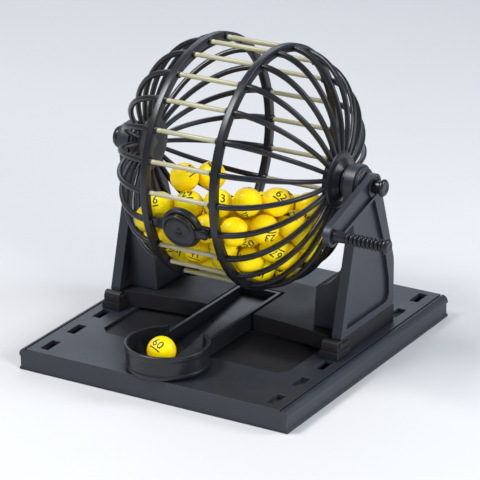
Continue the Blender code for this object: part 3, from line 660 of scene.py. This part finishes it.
def dome_mesh():
    x0, x1 = RING_X
    section = [(x0, RING_IN), (x0, RING_OUT), (x1, RING_OUT), (x1, RING_IN)]
    ring = lathe(rounded(section, 0.0006, 3, True), 144, True)
    hx0, hx1 = HUB_X
    hub = [(hx0, SPIGOT_R + GAP), (hx0, HUB_R - 0.0012), (hx0 + 0.0012, HUB_R), (hx0 + 0.0032, HUB_R),
           (hx0 + 0.0038, HUB_R - 0.0012), (hx0 + 0.0040, 0.0112), (hx0 + 0.0058, 0.0086), (hx1, 0.0076),
           (hx1, SPIGOT_R + GAP)]
    hub = lathe(rounded(hub, 0.0005, 2, True), 72, True)
    ribs = joined(*[rib(place_angle(index)) for index in range(PLACES)])
    stub = lathe([(STUB_X, 0.0), (STUB_X, STUB_R - 0.0003), (STUB_X + 0.0003, STUB_R), (x0 + 0.0010, STUB_R),
                  (x0 + 0.0010, 0.0)], 16)
    hole = lathe([(STUB_X - 0.002, 0.0), (STUB_X - 0.002, ROD_R + 0.0002), (SOCKET_X, ROD_R + 0.0002),
                  (SOCKET_X, 0.0)], 16)
    stubs, holes = [], []
    for index in range(PLACES):
        turn = Matrix.Rotation(place_angle(index), 4, "X") @ Matrix.Translation((0, 0, ROD_CIRCLE))
        for shape, group in ((stub, stubs), (hole, holes)):
            copy = shape.copy()
            copy.transform(turn)
            group.append(copy)
    steps = [("UNION", hub), ("UNION", ribs), ("UNION", joined(*stubs)), ("DIFFERENCE", joined(*holes))]
    return carved(ring, steps)


def domes():
    right = dome_mesh()
    left = mirrored(right)
    for side, mesh in (("right", right), ("left", left)):
        mesh.transform(CAGE)
        place(f"{side}_dome_finished", smooth(mesh, 38), [BLACK], "cage", [f"{side}_dome"])


def rods():
    """Pale rods with rounded ends and a shallow sink mark near each end."""
    end = ROD_HALF
    profile = [(-end, 0.0), (-end, ROD_R - 0.0004), (-end + 0.0004, ROD_R)]
    for side in (-1, 1):
        marks = [(0.0158, ROD_R), (0.0154, ROD_R - 0.00012), (0.0146, ROD_R - 0.00012), (0.0142, ROD_R)]
        profile += [(side * x, r) for x, r in (marks if side < 0 else reversed(marks))]
    profile += [(end - 0.0004, ROD_R), (end, ROD_R - 0.0004), (end, 0.0)]
    number = 0
    for index in range(PLACES):
        if index == EXIT_PLACE:
            continue
        number += 1
        turn = CAGE @ Matrix.Rotation(place_angle(index), 4, "X") @ Matrix.Translation((0, 0, ROD_CIRCLE))
        name = f"cage_rod_{number:02d}"
        place(f"{name}_finished", smooth(lathe(profile, 20)), [CREAM], "cage", [name], turn)


PORT = CAGE @ Matrix.Rotation(place_angle(EXIT_PLACE), 4, "X")
UPRIGHT = Matrix.Rotation(-math.pi / 2, 4, "Y")


def upright(profile, sides, x=0.0, ring=False):
    """A solid of revolution about the port frame's radius, from (height, radius) points."""
    mesh = lathe(profile, sides, ring)
    mesh.transform(Matrix.Translation((x, 0, 0)) @ UPRIGHT)
    return mesh


def port():
    """The bar with the ringed port, its rolled rim and the hole for the rivet."""
    z0, z1 = PORT_Z
    reach = STUB_X - GAP
    bar = softened(block((-reach, -0.003, z0 + 0.0006), (reach, 0.003, z1 - 0.0006)), 0.0006, 3)
    pins = lathe([(-ROD_HALF, 0.0), (-ROD_HALF, ROD_R), (ROD_HALF, ROD_R), (ROD_HALF, 0.0)], 20)
    pins.transform(Matrix.Translation((0, 0, ROD_CIRCLE)))
    section = rounded([(z0, PORT_HOLE), (z0, PORT_R), (z1, PORT_R), (z1, PORT_HOLE)], 0.0008, 4, True)
    ring = upright(section, 72, 0.0, True)
    core = disc(PORT_HOLE + 0.0004, 0.05, 0.07)
    rivet_hole = disc(0.0015, 0.05, 0.07, (SHUTTER_X, 0), 24)
    mesh = carved(bar, [("UNION", pins), ("DIFFERENCE", core), ("UNION", ring), ("DIFFERENCE", rivet_hole)])
    place("exit_port_finished", smooth(mesh), [BLACK], "cage", ["exit_port"], PORT)


def shutter():
    """A dished round shutter with a rolled edge and a small finger bump, on a short arm."""
    z0 = PORT_Z[1] + GAP
    edge = z0 + SHUTTER_T + 0.001
    floor = z0 + SHUTTER_T
    profile = [(z0, 0.0), (z0, SHUTTER_R - 0.0006), (z0 + 0.0006, SHUTTER_R), (edge - 0.0003, SHUTTER_R),
               (edge, SHUTTER_R - 0.0004), (edge, SHUTTER_R - 0.0010), (floor + 0.0002, SHUTTER_R - 0.0017),
               (floor - 0.0002, SHUTTER_R - 0.0040), (floor, 0.0018), (floor + 0.0007, 0.0010),
               (floor + 0.0008, 0.0)]
    dish = upright(rounded(profile, 0.0003, 2), 72)
    arm = block((SHUTTER_R - 0.0012, -0.002, z0), (SHUTTER_X, 0.002, floor))
    eye = disc(0.0028, z0, floor, (SHUTTER_X, 0), 36)
    hole = disc(0.0015, 0.05, 0.08, (SHUTTER_X, 0), 24)
    mesh = carved(dish, [("UNION", arm), ("UNION", eye), ("DIFFERENCE", hole)])
    place("port_shutter_finished", smooth(mesh, 35), [BLACK], "shutter", ["port_shutter"], PORT)


def rivet():
    top = PORT_Z[1] + GAP * 2 + SHUTTER_T
    head = [(top, 0.0012), (top, 0.0022), (top + 0.0003, 0.0022), (top + 0.0007, 0.0017),
            (top + 0.0009, 0.0008), (top + 0.0009, 0.0)]
    mesh = upright([(PORT_Z[0] + 0.001, 0.0), (PORT_Z[0] + 0.001, 0.0012)] + head, 28, SHUTTER_X)
    place("shutter_rivet_finished", smooth(mesh), [BLACK], "cage", ["shutter_rivet"], PORT)


def axles():
    shaft = [(HUB_X[0] - 0.0007, 0.0), (HUB_X[0] - 0.0007, SPIGOT_R), (HUB_X[1] + GAP, SPIGOT_R),
             (HUB_X[1] + GAP, SHAFT_R), (SLEEVE_X + GAP, SHAFT_R)]
    collar = [(SLEEVE_X + GAP, 0.0064), (ARM_X - GAP, 0.0064), (ARM_X - GAP, SPIGOT_R),
              (ARM_X + ARM_T, SPIGOT_R), (ARM_X + ARM_T, 0.0)]
    knob = [(SLEEVE_X + GAP, 0.0056), (0.0740, 0.0062), (0.0752, 0.0062), (0.0768, 0.0053), (0.0779, 0.0036),
            (0.0784, 0.0018), (0.0785, 0.0)]
    right = lathe(rounded(shaft + collar, 0.0002, 2), 48)
    left = mirrored(lathe(rounded(shaft + knob, 0.0003, 3), 48))
    for name, mesh in (("crank_shaft", right), ("left_axle", left)):
        mesh.transform(CAGE)
        place(f"{name}_finished", smooth(mesh), [BLACK], "cage", [name])


def crank_cap():
    """A glossy button: a plain barrel with a flange and a dimpled face."""
    x = ARM_X + ARM_T + GAP
    profile = [(x, 0.0), (x, 0.0037), (x + 0.0034, 0.0035), (x + 0.0038, 0.0045), (x + 0.0050, 0.0045),
               (x + 0.0058, 0.0037), (x + 0.0058, 0.0022), (x + 0.0055, 0.0014), (x + 0.0055, 0.0)]
    mesh = lathe(rounded(profile, 0.0004, 3), 56)
    mesh.transform(CAGE)
    place("crank_cap_finished", smooth(mesh, 50), [BLACK], "cage", ["crank_cap"])


def link_outline(big, small, reach, steps=20):
    """Outline round two circles, the larger at the origin and the smaller at the reach point."""
    heading = math.degrees(math.atan2(reach[1], reach[0]))
    lean = math.degrees(math.acos((big - small) / math.hypot(*reach)))
    far = arc(reach, small, heading - lean, heading + lean, steps)
    near = arc((0.0, 0.0), big, heading + lean, heading + 360 - lean, steps)
    return far + near


def crank_arm():
    """A flat link with a rounded raised rim on both faces and a boss round each eye."""
    reach = (GRIP_AXIS.y - AXIS.y, GRIP_AXIS.z - AXIS.z)
    x0, x1 = ARM_X, ARM_X + ARM_T
    body = prism(link_outline(*ARM_EYES, reach), x0, x1, ALONG_X)
    field = link_outline(ARM_EYES[0] - ARM_RIM, ARM_EYES[1] - ARM_RIM, reach)
    outer = prism(field, x1 - 0.0015, x1 + 0.001, ALONG_X)
    inner = prism(field, x0 - 0.001, x0 + 0.0007, ALONG_X)
    bosses = joined(disc(0.0056, x0, x1 - 0.0004, sides=40, axes=ALONG_X),
                    disc(0.0036, x0, x1 - 0.0002, reach, 32, ALONG_X))
    bores = joined(disc(SPIGOT_R + GAP, 0.07, 0.09, sides=40, axes=ALONG_X),
                   disc(PIN_R + GAP, 0.07, 0.09, reach, 28, ALONG_X))
    steps = [("DIFFERENCE", outer), ("DIFFERENCE", inner), ("UNION", bosses), ("DIFFERENCE", bores)]
    mesh = softened(carved(body, steps), 0.0004, 3)
    mesh.transform(CAGE)
    place("crank_arm_finished", mesh, [CHARCOAL], "cage", ["crank_arm"])


def grip_pin():
    end = GRIP_X[1] - 0.003
    profile = [(ARM_X - 0.0016, 0.0), (ARM_X - 0.0016, 0.0022), (ARM_X - 0.0010, 0.0030),
               (ARM_X - GAP, 0.0030), (ARM_X - GAP, PIN_R), (end, PIN_R), (end, 0.0)]
    where = Matrix.Translation((0, GRIP_AXIS.y, GRIP_AXIS.z))
    mesh = smooth(lathe(rounded(profile, 0.0002, 2), 32))
    place("grip_pin_finished", mesh, [BLACK], "cage", ["grip_pin"], where)


def crank_grip():
    """The ribbed handle: a plain neck, rounded ribs and an end flange with a dished face."""
    start, end = GRIP_X
    bore = PIN_R + GAP
    neck = GRIP_R - 0.0004
    profile = [(end - 0.003 + GAP, 0.0), (end - 0.003 + GAP, bore), (start, bore), (start, GRIP_R),
               (start + 0.0016, GRIP_R), (start + 0.0024, neck), (GRIP_RIBBED - 0.0006, neck - 0.0002)]
    pitch = (end - 0.003 - GRIP_RIBBED) / GRIP_RIBS
    for number in range(GRIP_RIBS):
        x = GRIP_RIBBED + number * pitch
        profile += [(x + pitch * share, GRIP_R - drop) for share, drop in RIB_SHAPE]
    flange = GRIP_R + 0.0008
    profile += [(end - 0.0029, flange - 0.0003), (end - 0.0024, flange), (end - 0.0010, flange),
                (end - 0.0003, flange - 0.0008), (end, flange - 0.0018), (end - 0.0003, 0.0015),
                (end - 0.0003, 0.0)]
    where = Matrix.Translation((0, GRIP_AXIS.y, GRIP_AXIS.z))
    mesh = smooth(lathe(profile, 48), 60)
    place("crank_grip_finished", mesh, [BLACK], "grip", ["crank_grip"], where)


# ---------------------------------------------------------------- balls

def envelope():
    """Points and inward normals of the surface that ball skins stay inside, as (along, from axis)."""
    points, normals = [], []
    for share in np.linspace(0.0, 1.0, 60):
        before = np.array(dome_point(max(share - 0.01, 0.0)))
        after = np.array(dome_point(min(share + 0.01, 1.0)))
        along = (after - before) / np.linalg.norm(after - before)
        inward = np.array((along[1], -along[0]))
        point = np.array(dome_point(share)) + inward * (RIB_R + 0.0003)
        if point[0] > RING_X[1] and point[1] < RING_IN - 0.0003:
            points.append(point)
            normals.append(inward)
    for x in np.linspace(0.0, 0.0225, 12):
        points.append((x, RING_IN - 0.0003))
        normals.append((0.0, -1.0))
    for radius in np.linspace(0.0, 0.014, 6):
        points.append((HUB_X[0] - 0.0012, radius))
        normals.append((-1.0, 0.0))
    return np.array(points), np.array(normals)


def held_inside(centres, points, normals):
    """Push ball centres in until each skin clears the envelope."""
    out = np.hypot(centres[:, 1], centres[:, 2])
    flat = np.stack([np.abs(centres[:, 0]), out], 1)
    nearest = ((flat[:, None] - points[None]) ** 2).sum(2).argmin(1)
    clear = ((flat - points[nearest]) * normals[nearest]).sum(1)
    push = np.maximum(BALL_R - clear, 0.0)[:, None] * normals[nearest]
    moved = centres.copy()
    moved[:, 0] += push[:, 0] * np.where(centres[:, 0] < 0, -1, 1)
    moved[:, 1:] += centres[:, 1:] / np.maximum(out, 1e-9)[:, None] * push[:, 1:2]
    return moved


def parted(centres, others, share):
    """Push centres apart from other centres by a share of any overlap; returns them and the worst overlap."""
    offset = centres[:, None] - others[None]
    distance = np.sqrt((offset ** 2).sum(2))
    same = distance < 1e-9
    distance[same] = 1.0
    overlap = np.clip(2 * BALL_R + 0.00008 - distance, 0.0, None)
    overlap[same] = 0.0
    return centres + (offset / distance[..., None] * overlap[..., None]).sum(1) * share, overlap.max()


def pressed_down(centres, up):
    """Lower any ball centre that stands above the heap's leaning top."""
    above = centres @ up + HEAP_DEPTH * math.cos(HEAP_LEAN) - HEAP_PROUD
    return centres - np.clip(above, 0.0, None)[:, None] * up


def settled(count, fixed):
    """Centres of balls shaken down into the cage under the fixed ones, in the heap's tilted frame."""
    points, normals = envelope()
    draw = np.random.default_rng(3)
    room = ((-0.045, 0.045), (-0.04, 0.04), (-0.05, -0.015))
    centres = np.stack([draw.uniform(low, high, count) for low, high in room], 1)
    up = np.array((-math.sin(HEAP_LEAN), 0.0, math.cos(HEAP_LEAN)))
    for step in range(PACK_STEPS):
        heat = max(0.0, 1 - step / (PACK_STEPS * 0.75))
        centres -= up * 0.00025 * (0.15 + heat)
        centres += draw.normal(0, 0.0004 * heat, centres.shape)
        for _ in range(4):
            centres = parted(centres, centres, 0.5)[0]
            centres = parted(centres, fixed, 1.0)[0]
            centres = held_inside(pressed_down(centres, up), points, normals)
    for _ in range(800):
        centres, worst = parted(centres, centres, 0.4)
        centres, worst_fixed = parted(centres, fixed, 1.0)
        centres = held_inside(pressed_down(centres, up), points, normals)
        if max(worst, worst_fixed) < 0.00005:
            break
    return centres


def number_print(text):
    """A raised printed number with an underline, curved to a ball's skin and facing +Z."""
    curve = bpy.data.curves.new("print", "FONT")
    curve.body = text
    curve.size = 0.0062
    curve.align_x = "CENTER"
    curve.align_y = "CENTER"
    curve.offset = 0.00004
    curve.extrude = 0.0005
    curve.resolution_u = 2
    bm = bmesh.new()
    bm.from_mesh(evaluated(helper(curve)))
    half = 0.0016 * len(text)
    bar = Matrix.Translation((0, -0.0029, 0)) @ Matrix.Diagonal((half * 2, 0.00055, 0.001, 1))
    bmesh.ops.create_cube(bm, size=1.0, matrix=bar)
    bmesh.ops.remove_doubles(bm, verts=bm.verts, dist=0.000005)
    for _ in range(3):
        long = [edge for edge in bm.edges if edge.calc_length() > 0.0009]
        bmesh.ops.subdivide_edges(bm, edges=long, cuts=1)
    for vert in bm.verts:
        skin = BALL_R + (0.00004 if vert.co.z > 0 else -0.0002)
        flat = Vector((vert.co.x, vert.co.y, 0.0))
        vert.co = (flat + Vector((0, 0, math.sqrt(BALL_R ** 2 - flat.length_squared)))) * (skin / BALL_R)
    return mesh_from("print", bm)


def ball_skin():
    """A moulded ball: two halves with a fine seam between them and a small gate dimple at each pole."""
    profile = []
    rows = 22
    for number in range(rows + 1):
        angle = math.pi * number / rows
        radius = BALL_R
        if number == rows // 2:
            seam = 0.00022
            profile += [(-seam, math.sqrt(BALL_R ** 2 - seam ** 2)), (0.0, BALL_R - 0.00008),
                        (seam, math.sqrt(BALL_R ** 2 - seam ** 2))]
            continue
        if number in (0, rows):
            radius = BALL_R - 0.00015
        x = -radius * math.cos(angle)
        profile.append((x, 0.0 if number in (0, rows) else radius * math.sin(angle)))
    return lathe(profile, 36)


SKIN = ball_skin()


def ball(name, number, centre, body, node, facing, roll):
    """One numbered ball, its number printed on two opposite sides, the first of them facing a direction."""
    bm = bmesh.new()
    bm.from_mesh(SKIN)
    skin_faces = len(bm.faces)
    first = number_print(str(number))
    opposite = first.copy()
    opposite.transform(Matrix.Rotation(math.pi, 4, "X"))
    bm.from_mesh(first)
    bm.from_mesh(opposite)
    bm.faces.ensure_lookup_table()
    for face in bm.faces[skin_faces:]:
        face.material_index = 1
    mesh = bpy.data.meshes.new(name)
    bm.to_mesh(mesh)
    bm.free()
    indices = [polygon.material_index for polygon in mesh.polygons]
    turn = Vector(facing).to_track_quat("Z", "Y") @ Euler((0, 0, roll)).to_quaternion()
    where = Matrix.Translation(centre) @ turn.to_matrix().to_4x4()
    made = place(name, smooth(mesh, 50), [YELLOW, INK], body, [node], where)
    mesh.polygons.foreach_set("material_index", indices)
    return made


def balls():
    draw = np.random.default_rng(75)
    numbers = [int(n) for n in draw.permutation(np.arange(1, 91)) if n != DRAWN_NUMBER]
    tilt = CAGE @ Matrix.Rotation(HEAP_TILT, 4, "X")
    loose = [f"loose_ball_{i:02d}" for i in range(1, 13)]
    centres = [(low + high) / 2 for low, high in map(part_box, loose)]
    fixed = np.array([tilt.inverted() @ centre for centre in centres])
    for name, centre in zip(loose, centres):
        facing = Vector((0.3, -0.5, 0.5)) + Vector(draw.normal(0, 0.8, 3))
        ball(f"{name}_finished", numbers.pop(), centre, "balls", name, facing, draw.uniform(-1.2, 1.2))
    for index, centre in enumerate(settled(HEAP_BALLS, fixed), start=1):
        facing = Vector((0.1, -0.2, 0.0)) + Vector(draw.normal(0, 0.9, 3))
        ball(f"heap_ball_{index:02d}", numbers.pop(), tilt @ Vector(centre), "balls", "ball_heap", facing,
             draw.uniform(-3.1, 3.1))
    low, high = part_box("drawn_ball")
    middle = (low + high) / 2
    ball("drawn_ball_finished", DRAWN_NUMBER, middle, "drawn", "drawn_ball", (0.10, -0.62, 0.78), -0.45)


# ---------------------------------------------------------------- studio

def floor():
    bm = bmesh.new()
    bmesh.ops.create_grid(bm, x_segments=2, y_segments=2, size=4.0)
    mesh = mesh_from("floor", bm)
    made = bpy.data.objects.new("studio_floor", mesh)
    made.location.z = TRAY_LOW.z - 0.0002
    bpy.context.scene.collection.objects.link(made)
    look = bpy.data.materials.new("studio_floor")
    look.use_nodes = True
    tree = look.node_tree
    where = add_node(tree, "TexCoord").outputs["Object"]
    colour = mix_colour(tree, noise(tree, where, 6.0), rgba((0.60, 0.60, 0.61)), rgba((0.64, 0.64, 0.65)))
    tree.links.new(colour, tree.nodes["Principled BSDF"].inputs["Base Color"])
    tree.nodes["Principled BSDF"].inputs["Roughness"].default_value = 0.7
    mesh.materials.append(look)


def area_light(name, location, target, size, power, colour=(1, 1, 1), glossy=True):
    light = bpy.data.lights.new(name, "AREA")
    light.shape = "RECTANGLE"
    light.size, light.size_y = size
    light.energy = power
    light.color = colour
    made = bpy.data.objects.new(name, light)
    made.location = location
    made.rotation_mode = "QUATERNION"
    made.rotation_quaternion = (Vector(target) - Vector(location)).to_track_quat("-Z", "Y")
    made.visible_glossy = glossy
    bpy.context.scene.collection.objects.link(made)


def lights():
    middle = (0.0, 0.0, 0.07)
    area_light("back_left", (-0.75, 0.95, 0.85), middle, (1.1, 0.8), 4.5, (0.80, 0.88, 1.0))
    area_light("key_left", (-0.45, -0.45, 1.05), middle, (0.4, 0.4), 12.0)
    area_light("rim_right", (0.95, 0.45, 0.75), middle, (0.35, 0.7), 8.0, (0.85, 0.92, 1.0))
    area_light("fill_side", (1.20, -0.62, 0.62), middle, (0.6, 0.5), 15.0, glossy=False)
    area_light("fill_low", (0.30, -1.20, 0.16), middle, (0.8, 0.2), 3.0, glossy=False)
    world = bpy.data.worlds.new("studio")
    world.use_nodes = True
    tree = world.node_tree
    lighting = tree.nodes["Background"]
    lighting.inputs["Color"].default_value = (0.80, 0.84, 0.92, 1.0)
    lighting.inputs["Strength"].default_value = 0.31
    backdrop = add_node(tree, "Background", {"Color": (0.66, 0.68, 0.72, 1.0), "Strength": 1.0})
    seen = add_node(tree, "LightPath").outputs["Is Camera Ray"]
    mix = add_node(tree, "MixShader", {"Fac": seen})
    tree.links.new(lighting.outputs["Background"], mix.inputs[1])
    tree.links.new(backdrop.outputs["Background"], mix.inputs[2])
    tree.links.new(mix.outputs["Shader"], tree.nodes["World Output"].inputs["Surface"])
    bpy.context.scene.world = world


def camera():
    azimuth, elevation, roll = math.radians(30.86), math.radians(21.39), math.radians(-0.33)
    level = math.cos(elevation)
    forward = Vector((-math.sin(azimuth) * level, math.cos(azimuth) * level, -math.sin(elevation)))
    lens = bpy.data.cameras.new("camera")
    lens.sensor_width = 36.0
    lens.lens = 225.0
    lens.clip_start = 0.05
    made = bpy.data.objects.new("camera", lens)
    made.location = (0.748, -1.249, 0.628)
    made.rotation_mode = "QUATERNION"
    made.rotation_quaternion = forward.to_track_quat("-Z", "Y") @ Euler((0, 0, roll)).to_quaternion()
    bpy.context.scene.collection.objects.link(made)
    bpy.context.scene.camera = made
    bpy.context.scene.view_settings.view_transform = "Standard"


tray()
deck()
chute()
supports()
domes()
rods()
port()
shutter()
rivet()
axles()
crank_cap()
crank_arm()
grip_pin()
crank_grip()
balls()
floor()
lights()
camera()
